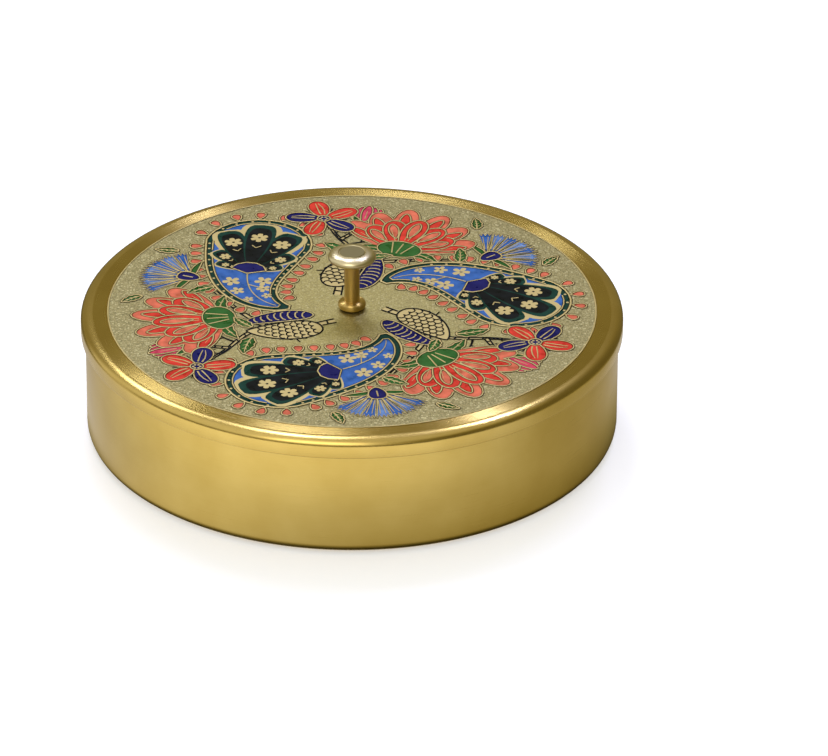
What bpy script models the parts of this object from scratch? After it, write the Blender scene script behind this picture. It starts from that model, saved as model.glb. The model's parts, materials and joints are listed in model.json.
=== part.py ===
"""Round brass spice box: a drawn pan, a lift-off lid with a turned knob, seven bowls and a spoon.

Lengths are in metres and angles in degrees. The origin is on the box's axis, on the surface that
it stands on, and +Z is up."""

import math

import bmesh
import bpy

# Clearances
SEAT_GAP = 0.0003
LID_SIDE_GAP = 0.0004
BOWL_GAP = 0.0004
SCREW_GAP = 0.0003

# Pan
BODY_RADIUS = 0.0885
BODY_HEIGHT = 0.0409
BODY_SHEET = 0.0010
BODY_FOOT_ROUND = 0.0035

# Lid
LID_SHEET = 0.0011
LID_SKIRT = 0.0065
LID_SHOULDER_ROUND = 0.0022

# Knob, from the lid up
COLLAR_RADIUS = 0.0046
COLLAR_HEIGHT = 0.0027
COLLAR_ROUND = 0.0011
STEM_RADIUS = 0.00255
STEM_HEIGHT = 0.0177
STEM_FLARE_RADIUS = 0.0044
STEM_FLARE_HEIGHT = 0.0012
STEM_FLARE_RIM = 0.0012
HEAD_RADIUS = 0.00795
HEAD_FLAT_RADIUS = 0.0043
HEAD_RISE = 0.0019
HEAD_DROP = 0.0009
TENON_RADIUS = 0.0015
TENON_LENGTH = 0.0014

# Screw and washer under the lid
SCREW_RADIUS = 0.0015
SCREW_REACH = 0.0085
SCREW_HEAD_RADIUS = 0.0029
SCREW_HEAD_HEIGHT = 0.0018
SCREW_HEAD_ROUND = 0.0009
SLOT_WIDTH = 0.0008
SLOT_DEPTH = 0.0009
WASHER_RADIUS = 0.0045
WASHER_SHEET = 0.0006

# Bowls
RING_BOWLS = 6
BOWL_SHEET = 0.0008
BOWL_LIP = 0.0008
BOWL_LIP_ROUND = 0.0006
BOWL_TAPER = 0.0013
BOWL_FOOT_ROUND = 0.0045
SPOON_ROOM = 0.0093

# Spoon
SPOON_SHEET = 0.0010
SPOON_DEPTH = 0.0046
SPOON_BOWL_LENGTH = 0.0300
SPOON_BOWL_WIDTH = 0.0225
SPOON_NECK_WIDTH = 0.0044
SPOON_END_WIDTH = 0.0088
SPOON_ARCH = 0.0012
SPOON_OVERHANG = 0.0022
SPOON_BLEND = 4

# Fineness of the round shapes
BODY_STEPS = 72
BOWL_STEPS = 32
KNOB_STEPS = 32
SMALL_STEPS = 24
ROUND_STEPS = 5
SMALL_ROUND_STEPS = 3
SPOON_ROWS = 36
SPOON_COLUMNS = 8
MERGE_DISTANCE = 0.00001
CUT_OVERRUN = 0.0010
SHARP_ANGLE = 40

# The pan's rim sits in the fillet under the lid's shoulder, one seat gap from it
FILLET = LID_SHOULDER_ROUND - LID_SHEET
RIM_REACH = FILLET - SEAT_GAP
RIM_OFFSET = FILLET - LID_SIDE_GAP
RIM_CLEARANCE = FILLET - math.sqrt(max(0, RIM_REACH ** 2 - RIM_OFFSET ** 2))

# Heights that follow from the sizes above
LID_UNDERSIDE = BODY_HEIGHT + RIM_CLEARANCE
LID_TOP = LID_UNDERSIDE + LID_SHEET
LID_RADIUS = BODY_RADIUS + LID_SIDE_GAP + LID_SHEET
BODY_INNER_RADIUS = BODY_RADIUS - BODY_SHEET
SCREW_HOLE_RADIUS = SCREW_RADIUS + SCREW_GAP
KNOB_FOOT = LID_TOP + SEAT_GAP
STEM_TOP = KNOB_FOOT + STEM_HEIGHT
HEAD_UNDERSIDE = STEM_TOP + SEAT_GAP
WASHER_TOP = LID_UNDERSIDE - SEAT_GAP
SCREW_HEAD_TOP = WASHER_TOP - WASHER_SHEET - SEAT_GAP
BOWL_FLOOR = BODY_SHEET + SEAT_GAP
BOWL_TOP = LID_UNDERSIDE - SPOON_ROOM
BOWL_HEIGHT = BOWL_TOP - BOWL_FLOOR

# The ring of bowls fills the pan: neighbours, the middle bowl and the wall are one bowl gap apart
RING_SINE = math.sin(math.pi / RING_BOWLS)
RING_ROOM = BODY_INNER_RADIUS - BOWL_GAP
BOWL_RADIUS = (RING_SINE * RING_ROOM - BOWL_GAP / 2) / (RING_SINE + 1)
RING_RADIUS = RING_ROOM - BOWL_RADIUS
CENTRE_BOWL_RADIUS = RING_RADIUS - BOWL_RADIUS - BOWL_GAP


def clear_scene():
    for old in list(bpy.data.objects):
        bpy.data.objects.remove(old, do_unlink=True)


def new_collection(name):
    made = bpy.data.collections.new(name)
    bpy.context.scene.collection.children.link(made)
    return made


def metal(name, colour, roughness):
    """A plain metal of one colour."""
    made = bpy.data.materials.new(name)
    made.use_nodes = True
    shader = made.node_tree.nodes["Principled BSDF"]
    shader.inputs["Base Color"].default_value = (*colour, 1.0)
    shader.inputs["Metallic"].default_value = 1.0
    shader.inputs["Roughness"].default_value = roughness
    return made


def arc(centre_r, centre_z, radius_r, radius_z, start, end, steps):
    """Points of an elliptical arc: 0 degrees points away from the axis, and 90 up."""
    points = []
    for i in range(steps + 1):
        turn = math.radians(start + (end - start) * i / steps)
        points.append((centre_r + radius_r * math.cos(turn), centre_z + radius_z * math.sin(turn)))
    return points


def settle(piece):
    """Makes the modifiers' result the piece's own mesh, smooth but for its sharp edges."""
    graph = bpy.context.evaluated_depsgraph_get()
    mesh = bpy.data.meshes.new_from_object(piece.evaluated_get(graph))
    piece.modifiers.clear()
    piece.data = mesh
    mesh.shade_smooth()
    mesh.set_sharp_from_angle(angle=math.radians(SHARP_ANGLE))


def place(piece, parent, location):
    piece.parent = parent
    piece.location = location


def new_piece(name, mesh, collection, material):
    mesh.materials.append(material)
    piece = bpy.data.objects.new(name, mesh)
    collection.objects.link(piece)
    return piece


def turned(name, profile, steps, collection, material, sheet=0):
    """A profile turned about Z. With a sheet thickness, the profile is the outer side of a shell."""
    mesh = bpy.data.meshes.new(name)
    points = [(r, 0, z) for r, z in profile]
    mesh.from_pydata(points, [(i, i + 1) for i in range(len(points) - 1)], [])
    piece = new_piece(name, mesh, collection, material)
    screw = piece.modifiers.new("turn", "SCREW")
    screw.steps = steps
    screw.render_steps = steps
    screw.use_merge_vertices = True
    screw.merge_threshold = MERGE_DISTANCE
    if sheet:
        wall = piece.modifiers.new("wall", "SOLIDIFY")
        wall.thickness = sheet
        wall.offset = -1
        wall.use_even_offset = True
    return piece


def make_body(collection, material):
    """The pan, with its foot on the ground."""
    foot = arc(BODY_RADIUS - BODY_FOOT_ROUND, BODY_FOOT_ROUND, BODY_FOOT_ROUND, BODY_FOOT_ROUND,
               0, -90, ROUND_STEPS)
    profile = [(BODY_RADIUS, BODY_HEIGHT), *foot, (0, 0)]
    body = turned("box_body", profile, BODY_STEPS, collection, material, BODY_SHEET)
    settle(body)
    return body


def make_lid(collection, material):
    """The lid's sheet: the top with its screw hole, the round shoulder and the skirt."""
    shoulder = arc(LID_RADIUS - LID_SHOULDER_ROUND, LID_TOP - LID_SHOULDER_ROUND,
                   LID_SHOULDER_ROUND, LID_SHOULDER_ROUND, 90, 0, ROUND_STEPS)
    profile = [(SCREW_HOLE_RADIUS, LID_TOP), *shoulder, (LID_RADIUS, LID_TOP - LID_SKIRT)]
    lid = turned("lid", profile, BODY_STEPS, collection, material, LID_SHEET)
    settle(lid)
    return lid


def make_collar(collection, material):
    """The ring round the stem's foot, a closed section that doesn't touch the axis."""
    inner = STEM_RADIUS + SCREW_GAP
    outer = COLLAR_RADIUS - COLLAR_ROUND
    top = arc(outer, COLLAR_HEIGHT - COLLAR_ROUND, COLLAR_ROUND, COLLAR_ROUND, 90, 0, ROUND_STEPS)
    foot = arc(outer, COLLAR_ROUND, COLLAR_ROUND, COLLAR_ROUND, 0, -90, ROUND_STEPS)
    profile = [(inner, 0), (inner, COLLAR_HEIGHT), *top, *foot, (inner, 0)]
    collar = turned("knob_collar", profile, SMALL_STEPS, collection, material)
    settle(collar)
    return collar


def make_stem(collection, material):
    """The stem: a tenon for the head, the flare, the shank, and a blind hole for the screw."""
    flare = arc(STEM_FLARE_RADIUS, STEM_HEIGHT - STEM_FLARE_RIM - STEM_FLARE_HEIGHT,
                STEM_FLARE_RADIUS - STEM_RADIUS, STEM_FLARE_HEIGHT, 90, 180, SMALL_ROUND_STEPS)
    hole_depth = SCREW_REACH + SCREW_GAP
    profile = [(0, STEM_HEIGHT + TENON_LENGTH), (TENON_RADIUS, STEM_HEIGHT + TENON_LENGTH),
               (TENON_RADIUS, STEM_HEIGHT), (STEM_FLARE_RADIUS, STEM_HEIGHT), *flare,
               (STEM_RADIUS, 0), (SCREW_HOLE_RADIUS, 0), (SCREW_HOLE_RADIUS, hole_depth),
               (0, hole_depth)]
    stem = turned("knob_stem", profile, SMALL_STEPS, collection, material)
    settle(stem)
    return stem


def make_head(collection, material):
    """The button on the stem: flat in the middle, round at the rim, with a hole for the tenon."""
    width = HEAD_RADIUS - HEAD_FLAT_RADIUS
    rim = arc(HEAD_FLAT_RADIUS, HEAD_DROP, width, HEAD_RISE, 90, 0, ROUND_STEPS)
    under = arc(HEAD_RADIUS - HEAD_DROP, HEAD_DROP, HEAD_DROP, HEAD_DROP, 0, -90, SMALL_ROUND_STEPS)
    hole_radius = TENON_RADIUS + SEAT_GAP
    hole_depth = TENON_LENGTH
    profile = [(0, HEAD_DROP + HEAD_RISE), *rim, *under[1:], (hole_radius, 0),
               (hole_radius, hole_depth), (0, hole_depth)]
    head = turned("knob_head", profile, KNOB_STEPS, collection, material)
    settle(head)
    return head


def make_screw(collection, cutters, material):
    """The slotted screw, head down, from the top of its head."""
    edge = arc(SCREW_HEAD_RADIUS - SCREW_HEAD_ROUND, SCREW_HEAD_ROUND - SCREW_HEAD_HEIGHT,
               SCREW_HEAD_ROUND, SCREW_HEAD_ROUND, 0, -90, SMALL_ROUND_STEPS)
    length = KNOB_FOOT - SCREW_HEAD_TOP + SCREW_REACH
    profile = [(0, length), (SCREW_RADIUS, length), (SCREW_RADIUS, 0), (SCREW_HEAD_RADIUS, 0), *edge,
               (0, -SCREW_HEAD_HEIGHT)]
    screw = turned("knob_screw", profile, SMALL_STEPS, collection, material)
    bpy.ops.mesh.primitive_cube_add(size=1)
    slot = bpy.context.object
    slot.name = "screw_slot"
    slot.scale = (2 * SCREW_HEAD_RADIUS + CUT_OVERRUN, SLOT_WIDTH, 2 * SLOT_DEPTH)
    slot.location = (0, 0, -SCREW_HEAD_HEIGHT)
    slot.hide_render = True
    slot.display_type = "WIRE"
    for holder in list(slot.users_collection):
        holder.objects.unlink(slot)
    cutters.objects.link(slot)
    cut = screw.modifiers.new("slot", "BOOLEAN")
    cut.operation = "DIFFERENCE"
    cut.object = slot
    bpy.context.view_layer.update()
    settle(screw)
    return screw


def make_washer(collection, material):
    """The washer, from its underside."""
    profile = [(SCREW_HOLE_RADIUS, 0), (SCREW_HOLE_RADIUS, WASHER_SHEET),
               (WASHER_RADIUS, WASHER_SHEET), (WASHER_RADIUS, 0), (SCREW_HOLE_RADIUS, 0)]
    washer = turned("knob_washer", profile, SMALL_STEPS, collection, material)
    settle(washer)
    return washer


def make_bowl(name, radius, collection, material):
    """A bowl with a turned-out lip, a slightly tapered wall and a round foot."""
    wall_radius = radius - BOWL_LIP - BOWL_LIP_ROUND
    foot_radius = wall_radius - BOWL_TAPER
    lip = arc(wall_radius + BOWL_LIP_ROUND, BOWL_HEIGHT - BOWL_SHEET - BOWL_LIP_ROUND,
              BOWL_LIP_ROUND, BOWL_LIP_ROUND, 90, 180, SMALL_ROUND_STEPS)
    foot = arc(foot_radius - BOWL_FOOT_ROUND, BOWL_FOOT_ROUND, BOWL_FOOT_ROUND, BOWL_FOOT_ROUND,
               0, -90, ROUND_STEPS)
    profile = [(radius, BOWL_HEIGHT - BOWL_SHEET), *lip, *foot, (0, 0)]
    bowl = turned(name, profile, BOWL_STEPS, collection, material, BOWL_SHEET)
    settle(bowl)
    return bowl


def bowl_places():
    """The middles of the ring's bowls, the first one at +X."""
    turns = [2 * math.pi * i / RING_BOWLS for i in range(RING_BOWLS)]
    return [(RING_RADIUS * math.cos(t), RING_RADIUS * math.sin(t), BOWL_FLOOR) for t in turns]


def spoon_place():
    """The spoon's dish sits on the three rims that meet beside the middle bowl."""
    half_turn = math.pi / RING_BOWLS
    reach = (2 * RING_RADIUS * math.cos(half_turn)) / 3
    return reach * math.cos(half_turn), reach * math.sin(half_turn)


def make_spoon(collection, material):
    """The spoon: a grid laid out as an oval dish, a neck and a handle, given its sheet's thickness."""
    place_x, place_y = spoon_place()
    half_dish = SPOON_BOWL_LENGTH / 2
    half_width = SPOON_BOWL_WIDTH / 2
    neck = SPOON_NECK_WIDTH / 2
    end = SPOON_END_WIDTH / 2
    far_rim = RING_RADIUS + math.sqrt(BOWL_RADIUS ** 2 - place_y ** 2)
    length = half_dish + place_x + far_rim - SPOON_OVERHANG
    handle = length - SPOON_BOWL_LENGTH

    def round_end(along, radius):
        return math.sqrt(max(0, 1 - (along / radius) ** 2))

    def half_width_at(s):
        dish = half_width * round_end(s - half_dish, half_dish)
        run = max(0, s - half_dish) / (length - half_dish)
        grip = (neck + (end - neck) * run) * round_end(max(0, s - length + end), end)
        grip = grip if s > half_dish else 0
        return (dish ** SPOON_BLEND + grip ** SPOON_BLEND) ** (1 / SPOON_BLEND)

    def height_at(s, y):
        rho = ((s - half_dish) / half_dish) ** 2 + (y / half_width) ** 2
        run = min(1, max(0, s - SPOON_BOWL_LENGTH) / handle)
        fall = SPOON_DEPTH * run * run * (3 - 2 * run)
        return SPOON_DEPTH * (1 - max(0, 1 - rho)) - fall + SPOON_ARCH * math.sin(math.pi * run)

    grid = bmesh.new()
    bmesh.ops.create_grid(grid, x_segments=SPOON_ROWS, y_segments=SPOON_COLUMNS, size=1)
    for vert in grid.verts:
        s = length * (1 - math.cos(math.pi * (vert.co.x + 1) / 2)) / 2
        y = half_width_at(s) * vert.co.y
        vert.co = (-s, -y, height_at(s, y))
    bmesh.ops.remove_doubles(grid, verts=grid.verts, dist=MERGE_DISTANCE)
    mesh = bpy.data.meshes.new("spoon")
    grid.to_mesh(mesh)
    grid.free()
    spoon = new_piece("spoon", mesh, collection, material)
    wall = spoon.modifiers.new("wall", "SOLIDIFY")
    wall.thickness = SPOON_SHEET
    wall.offset = 1
    wall.use_even_offset = True
    settle(spoon)
    return spoon


def new_axis(name, collection, location):
    """An empty on a moving piece's axis."""
    axis = bpy.data.objects.new(name, None)
    collection.objects.link(axis)
    axis.location = location
    return axis


def build():
    clear_scene()
    pieces = new_collection("spice_box")
    cutters = new_collection("cutters")
    brass = metal("brass_sheet", (0.62, 0.45, 0.16), 0.32)
    lid_brass = metal("lid_brass", (0.66, 0.50, 0.21), 0.30)
    turned_brass = metal("turned_brass", (0.66, 0.44, 0.13), 0.18)
    pale_brass = metal("pale_brass", (0.74, 0.64, 0.42), 0.16)
    bowl_brass = metal("bowl_brass", (0.70, 0.52, 0.24), 0.28)
    spoon_brass = metal("spoon_brass", (0.72, 0.54, 0.25), 0.24)
    steel = metal("screw_steel", (0.55, 0.54, 0.52), 0.35)

    make_body(pieces, brass)

    lid_axis = new_axis("lid_axis", pieces, (0, 0, 0))
    place(make_lid(pieces, lid_brass), lid_axis, (0, 0, 0))
    place(make_collar(pieces, turned_brass), lid_axis, (0, 0, KNOB_FOOT))
    place(make_stem(pieces, turned_brass), lid_axis, (0, 0, KNOB_FOOT))
    place(make_head(pieces, pale_brass), lid_axis, (0, 0, HEAD_UNDERSIDE))
    place(make_washer(pieces, steel), lid_axis, (0, 0, WASHER_TOP - WASHER_SHEET))
    place(make_screw(pieces, cutters, steel), lid_axis, (0, 0, SCREW_HEAD_TOP))

    centre_bowl = make_bowl("spice_bowl_centre", CENTRE_BOWL_RADIUS, pieces, bowl_brass)
    centre_bowl.location = (0, 0, BOWL_FLOOR)
    places = bowl_places()
    first = make_bowl("spice_bowl_1", BOWL_RADIUS, pieces, bowl_brass)
    first.location = places[0]
    for number, location in enumerate(places[1:], start=2):
        bowl = bpy.data.objects.new(f"spice_bowl_{number}", first.data)
        pieces.objects.link(bowl)
        bowl.location = location

    place_x, place_y = spoon_place()
    spoon = make_spoon(pieces, spoon_brass)
    spoon.location = (place_x + SPOON_BOWL_LENGTH / 2, place_y, BOWL_TOP + SEAT_GAP)


build()
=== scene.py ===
"""Round brass spice box: fine meshes, finishes, lid ornament and studio, laid out as an add-on.

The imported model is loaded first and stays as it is. Lengths are in metres and +Z is up. The
ornament is drawn flat with complex numbers, as one third of the lid, and repeated round the
axis."""

import cmath
import json
import math

import bmesh
import bpy
from mathutils import Matrix, Vector


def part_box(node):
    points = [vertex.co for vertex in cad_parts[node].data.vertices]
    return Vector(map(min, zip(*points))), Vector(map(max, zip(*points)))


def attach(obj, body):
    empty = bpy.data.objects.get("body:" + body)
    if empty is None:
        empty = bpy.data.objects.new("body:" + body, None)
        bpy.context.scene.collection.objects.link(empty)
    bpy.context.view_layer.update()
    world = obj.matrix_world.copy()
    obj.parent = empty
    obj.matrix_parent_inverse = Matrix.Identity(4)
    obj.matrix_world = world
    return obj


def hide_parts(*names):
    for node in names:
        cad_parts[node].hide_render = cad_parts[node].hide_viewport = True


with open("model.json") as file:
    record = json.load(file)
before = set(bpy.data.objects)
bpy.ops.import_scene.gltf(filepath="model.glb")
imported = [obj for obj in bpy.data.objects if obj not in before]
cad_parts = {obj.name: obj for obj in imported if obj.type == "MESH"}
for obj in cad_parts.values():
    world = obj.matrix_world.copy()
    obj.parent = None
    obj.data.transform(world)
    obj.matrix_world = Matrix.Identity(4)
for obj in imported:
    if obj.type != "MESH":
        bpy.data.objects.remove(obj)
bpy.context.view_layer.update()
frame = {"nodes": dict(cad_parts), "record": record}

bl_info = {
    "name": "Spice Box Dresser",
    "version": (1, 0, 0),
    "blender": (4, 5, 0),
    "location": "3D View > Sidebar > Spice Box",
    "description": "Dresses the spice box with fine meshes, brass, enamel ornament and a studio",
    "category": "Object",
}

PAN_BODY = "pan"
LID_BODY = "lid_and_knob"
PAN_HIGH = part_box("box_body")[1]
LID_LOW, LID_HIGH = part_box("lid")
COLLAR_LOW, COLLAR_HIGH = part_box("knob_collar")
STEM_LOW, STEM_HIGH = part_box("knob_stem")
HEAD_LOW, HEAD_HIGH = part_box("knob_head")
SPOON_LOW, SPOON_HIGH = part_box("spoon")

MERGE_DISTANCE = 0.000005  # points of a turned piece that are one
SHARP_ANGLE = math.radians(35)
ARC_STEPS = 10  # steps in a rounded corner's profile
FACES_UP = 0.9  # upward part of a face's normal from which it belongs to the lid's flat top
NECK_POWER = 4  # the higher, the tighter the corner between the spoon's dish and handle

LINE_BREAKS = 3.0  # how often the turned lines change round the axis
LINE_DEPTH = 0.00003  # depth of the turned lines

TINTS = ("edge", "gold", "black", "dark_green", "green", "red", "coral", "pink", "blue", "sky",
         "navy")
POINT_GAP = 0.00002  # points of an outline that are one
CUT_STEP = 0.0004  # steps along a line at which fields over it are looked for
LOBE_DEPTH = 0.22  # share of a leaf's width that the notches between its lobes take off
LINE_SIDES = 6  # sides of a raised line's section
LINE_FLATNESS = 0.22  # height of a raised line as a share of its width
EDGE_FLATNESS = 0.05  # the same for the dark edge beside it
TRUNK, BOUGH, SPRIG = 0.0026, 0.0018, 0.0015  # widths of the ornament's branches
RIM_STEPS = 84  # steps of the field's gold rim in one sector

CAMERA_ELEVATION = math.radians(28.8)
FLOOR_WIDTH = 8.0
FLOOR_GAP = 0.0002  # how far the floor lies under the box's foot
# Radii at which the floor's glow is given, closest where the box's wall shows it largest
FLOOR_RINGS = (0.0870, 0.0885, 0.0900, 0.0915, 0.0930, 0.0970, 0.1010, 0.1060, 0.1120, 0.1180,
               0.1260, 0.1340, 0.1420, 0.1500, 0.1580, 0.2000, 0.3000, 0.6000, 1.5000, 6.9000)
ROOM_REACH = FLOOR_RINGS[-1]  # radius of the room's dome


# Properties

def length(name, default, text):
    return bpy.props.FloatProperty(
        name=name, description=text, default=default, min=0, unit="LENGTH", precision=5)


def colour(name, default, text):
    return bpy.props.FloatVectorProperty(
        name=name, description=text, default=default, size=3, min=0, max=1, subtype="COLOR")


def count(name, default, text):
    return bpy.props.IntProperty(name=name, description=text, default=default, min=1)


class ShellSizes(bpy.types.PropertyGroup):
    """Sizes of the pan and the lid."""
    pan_radius: length("Pan radius", PAN_HIGH.x, "Outer radius of the pan's wall")
    pan_height: length("Pan height", PAN_HIGH.z, "Height of the pan's rim")
    pan_sheet: length("Pan sheet", 0.0010, "Thickness of the pan's sheet")
    pan_foot: length("Foot rounding", 0.0035, "Radius between the wall and the flat foot")
    lid_radius: length("Lid radius", LID_HIGH.x, "Outer radius of the lid's skirt")
    lid_top: length("Lid top", LID_HIGH.z, "Height of the lid's flat top")
    lid_edge: length("Skirt edge", LID_LOW.z, "Height of the skirt's lower edge")
    lid_sheet: length("Lid sheet", 0.0011, "Thickness of the lid's sheet")
    shoulder_width: length("Shoulder width", 0.0040, "How far in the shoulder's curve begins")
    shoulder_drop: length("Shoulder drop", 0.0026, "How far down the shoulder's curve ends")
    edge_round: length("Edge rounding", 0.0003, "Rounding of the skirt's lower edge")
    field_radius: length("Field radius", 0.0809, "Outer radius of the stippled field")
    hole_radius: length("Hole radius", 0.0018, "Radius of the screw hole under the knob")
    steps: count("Steps", 256, "Steps round the pan and the lid")


class KnobSizes(bpy.types.PropertyGroup):
    """Sizes of the knob's three turned pieces."""
    collar_round: length("Collar rounding", 0.0012, "Rounding of the collar's edges")
    stem_radius: length("Stem radius", 0.00255, "Radius of the stem's shank")
    stem_flare: length("Flare height", 0.0014, "Height of the flare under the head")
    stem_rim: length("Flare rim", 0.0009, "Height of the flare's straight edge")
    head_flat: length("Head flat", 0.0043, "Radius of the head's flat middle")
    head_drop: length("Head drop", 0.0009, "Rounding under the head's rim")
    groove: length("Groove", 0.0002, "Depth of the line round the flat middle")
    steps: count("Steps", 96, "Steps round the knob's pieces")


class BowlSizes(bpy.types.PropertyGroup):
    """Sizes of the bowls and the spoon."""
    sheet: length("Bowl sheet", 0.0008, "Thickness of the bowls' sheet")
    lip: length("Lip width", 0.0008, "Width of the turned-out lip")
    lip_round: length("Lip rounding", 0.0006, "Rounding between the wall and the lip")
    taper: length("Taper", 0.0013, "How much narrower the wall is at the foot")
    foot: length("Foot rounding", 0.0045, "Radius between the wall and the foot")
    steps: count("Steps", 128, "Steps round each bowl")
    spoon_sheet: length("Spoon sheet", 0.0010, "Thickness of the spoon's sheet")
    spoon_depth: length("Spoon depth", 0.0046, "Depth of the spoon's dish")
    dish_length: length("Dish length", 0.0300, "Length of the spoon's dish")
    neck_width: length("Neck width", 0.0044, "Width of the handle at the dish")
    end_width: length("End width", 0.0088, "Width of the handle at its end")
    arch: length("Arch", 0.0012, "Rise of the handle's arch")


class OrnamentSizes(bpy.types.PropertyGroup):
    """Sizes of the lid's ornament."""
    repeats: count("Repeats", 3, "How many times the ornament repeats round the axis")
    line: length("Line width", 0.00085, "Width of the raised gold lines")
    thin_line: length("Thin line width", 0.00055, "Width of the lines inside a motif")
    dark_line: length("Dark line width", 0.00060, "Width of the dark lines")
    edge: length("Edge width", 0.00018, "Width of the dark edge beside each gold line")
    level: length("Level height", 0.000004, "Height of one layer of enamel over the next")
    paisley: length("Paisley radius", 0.0180, "Radius of the paisley's round end")
    lotus: length("Lotus height", 0.0310, "Height of the lotus")
    carnation: length("Carnation height", 0.0180, "Height of the blue carnation")
    star_flower: length("Star flower radius", 0.0130, "Radius of the red and navy flower")
    bud: length("Bud height", 0.0140, "Height of the pink bud")


class Colours(bpy.types.PropertyGroup):
    """Colours of the metals and the enamels."""
    brass: colour("Brass", (0.62, 0.455, 0.125), "The pan's and the lid's sheet")
    brass_dark: colour("Dark brass", (0.50, 0.345, 0.075), "The sheet's darker patches")
    ground: colour("Ground", (0.46, 0.395, 0.155), "The stippled field")
    # Painted reflection: the field's middle is painted warmer, for the warm surroundings it
    # reflects.
    ground_warm: colour("Warm ground", (0.50, 0.42, 0.125), "The stippled field's rubbed middle")
    # Painted shade in the stippling's hollows.
    ground_deep: colour("Deep ground", (0.19, 0.16, 0.052), "The hollows of the stippling")
    # Painted glints: the stippling's bright specks are put into its colour.
    glint: colour("Glint", (0.72, 0.65, 0.31), "The stippling's bright specks")
    turned: colour("Turned brass", (0.70, 0.48, 0.15), "The knob's stem and collar")
    # Painted reflection: the head is painted paler than the brass, for the bright ceiling that it
    # reflects.
    pale: colour("Pale brass", (0.62, 0.53, 0.28), "The knob's head")
    # Painted reflection: the head's flat middle is painted dark, for the dark surroundings that it
    # reflects.
    pale_dull: colour("Dull pale brass", (0.26, 0.22, 0.09), "The head's flat middle")
    bowl: colour("Bowl brass", (0.72, 0.55, 0.26), "The bowls")
    spoon: colour("Spoon brass", (0.75, 0.58, 0.28), "The spoon")
    steel: colour("Steel", (0.55, 0.54, 0.52), "The screw and the washer")
    gold: colour("Gold line", (0.57, 0.455, 0.165), "The raised lines and florets")
    black: colour("Black enamel", (0.003, 0.005, 0.005), "The paisleys' lobes and the stems")
    dark_green: colour("Dark green enamel", (0.004, 0.040, 0.024), "The paisleys' border")
    green: colour("Green enamel", (0.028, 0.120, 0.018), "The leaves")
    red: colour("Red enamel", (0.66, 0.040, 0.020), "The lotuses' inner petals")
    coral: colour("Coral enamel", (0.67, 0.150, 0.072), "The lotuses' outer petals")
    pink: colour("Pink enamel", (0.66, 0.062, 0.100), "The buds")
    blue: colour("Blue enamel", (0.036, 0.120, 0.345), "The paisleys' body and the carnations")
    sky: colour("Light blue enamel", (0.120, 0.220, 0.430), "The carnations' lighter petals")
    navy: colour("Navy enamel", (0.008, 0.008, 0.090), "The crescent leaves and flowers' hearts")
    edge: colour("Dark edge", (0.030, 0.022, 0.008), "The thin edges beside the gold lines")


class StudioSettings(bpy.types.PropertyGroup):
    """The camera, the lamps and the pale surroundings."""
    distance: length("Camera distance", 2.2, "From the camera to the point it looks at")
    aim_height: length("Aim height", 0.02135, "Height of the point that the camera looks at")
    elevation: bpy.props.FloatProperty(
        name="Camera elevation", description="Angle of the camera above the floor",
        default=CAMERA_ELEVATION, subtype="ANGLE")
    lens: bpy.props.FloatProperty(
        name="Lens", description="Focal length in millimetres on a 36 mm sensor", default=287.04)
    shift_x: bpy.props.FloatProperty(name="Shift X", description="Sideways shift", default=0.0749)
    shift_y: bpy.props.FloatProperty(name="Shift Y", description="Upward shift", default=-0.0164)
    room_light: bpy.props.FloatProperty(
        name="Room light", description="Strength of the even light on dull surfaces", default=0.80)


class SpiceBoxSettings(bpy.types.PropertyGroup):
    """Everything that a user may change before the box is dressed."""
    shell: bpy.props.PointerProperty(type=ShellSizes, name="Pan and lid")
    knob: bpy.props.PointerProperty(type=KnobSizes, name="Knob")
    bowl: bpy.props.PointerProperty(type=BowlSizes, name="Bowls and spoon")
    ornament: bpy.props.PointerProperty(type=OrnamentSizes, name="Ornament")
    colours: bpy.props.PointerProperty(type=Colours, name="Colours")
    studio: bpy.props.PointerProperty(type=StudioSettings, name="Studio")



# Node trees

GEOMETRY = "NodeSocketGeometry"
NUMBER = "NodeSocketFloat"
WHOLE = "NodeSocketInt"
MATERIAL = "NodeSocketMaterial"
VECTOR = "NodeSocketVector"


def set_inputs(tree, node, values):
    """Gives a node's inputs, by name or place, a plain value or another node's output.

    A plain colour is three numbers."""
    for key, value in values.items():
        if isinstance(key, int):
            socket = node.inputs[key]
        else:
            socket = next(s for s in node.inputs if s.enabled and key in (s.name, s.identifier))
        if isinstance(value, bpy.types.NodeSocket):
            tree.links.new(value, socket)
        elif socket.type == "RGBA":
            socket.default_value = (*value, 1.0)
        else:
            socket.default_value = value


def add(tree, kind, values=None, **settings):
    """A new node with its settings and inputs."""
    made = tree.nodes.new(kind)
    for key, value in settings.items():
        setattr(made, key, value)
    set_inputs(tree, made, values or {})
    return made


def calculate(tree, operation, first, second=0.0):
    """A Math node's result."""
    return add(tree, "ShaderNodeMath", {0: first, 1: second}, operation=operation).outputs[0]


def turn_share(tree, index, count_round):
    """The angle of one of a number of equal steps round the axis."""
    return calculate(tree, "MULTIPLY", calculate(tree, "DIVIDE", index, count_round), math.tau)


def built_once(build):
    """Makes a function build its node group on the first call and find it again later."""
    name = build.__name__
    return lambda: bpy.data.node_groups.get(name) or build(name)


def new_tree(name, kind, inputs, outputs):
    """A node group, the values that come into it and the sockets that take its results."""
    tree = bpy.data.node_groups.new(name, kind)
    for direction, sockets in (("INPUT", inputs), ("OUTPUT", outputs)):
        for socket_name, socket_type in sockets:
            tree.interface.new_socket(socket_name, in_out=direction, socket_type=socket_type)
    return tree, tree.nodes.new("NodeGroupInput").outputs, tree.nodes.new("NodeGroupOutput").inputs


def geometry_tree(name, *numbers):
    """A geometry tree that takes a geometry, the numbers named and a material."""
    shape = ("Geometry", GEOMETRY)
    return new_tree(name, "GeometryNodeTree", [shape, *numbers, ("Material", MATERIAL)], [shape])


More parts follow.
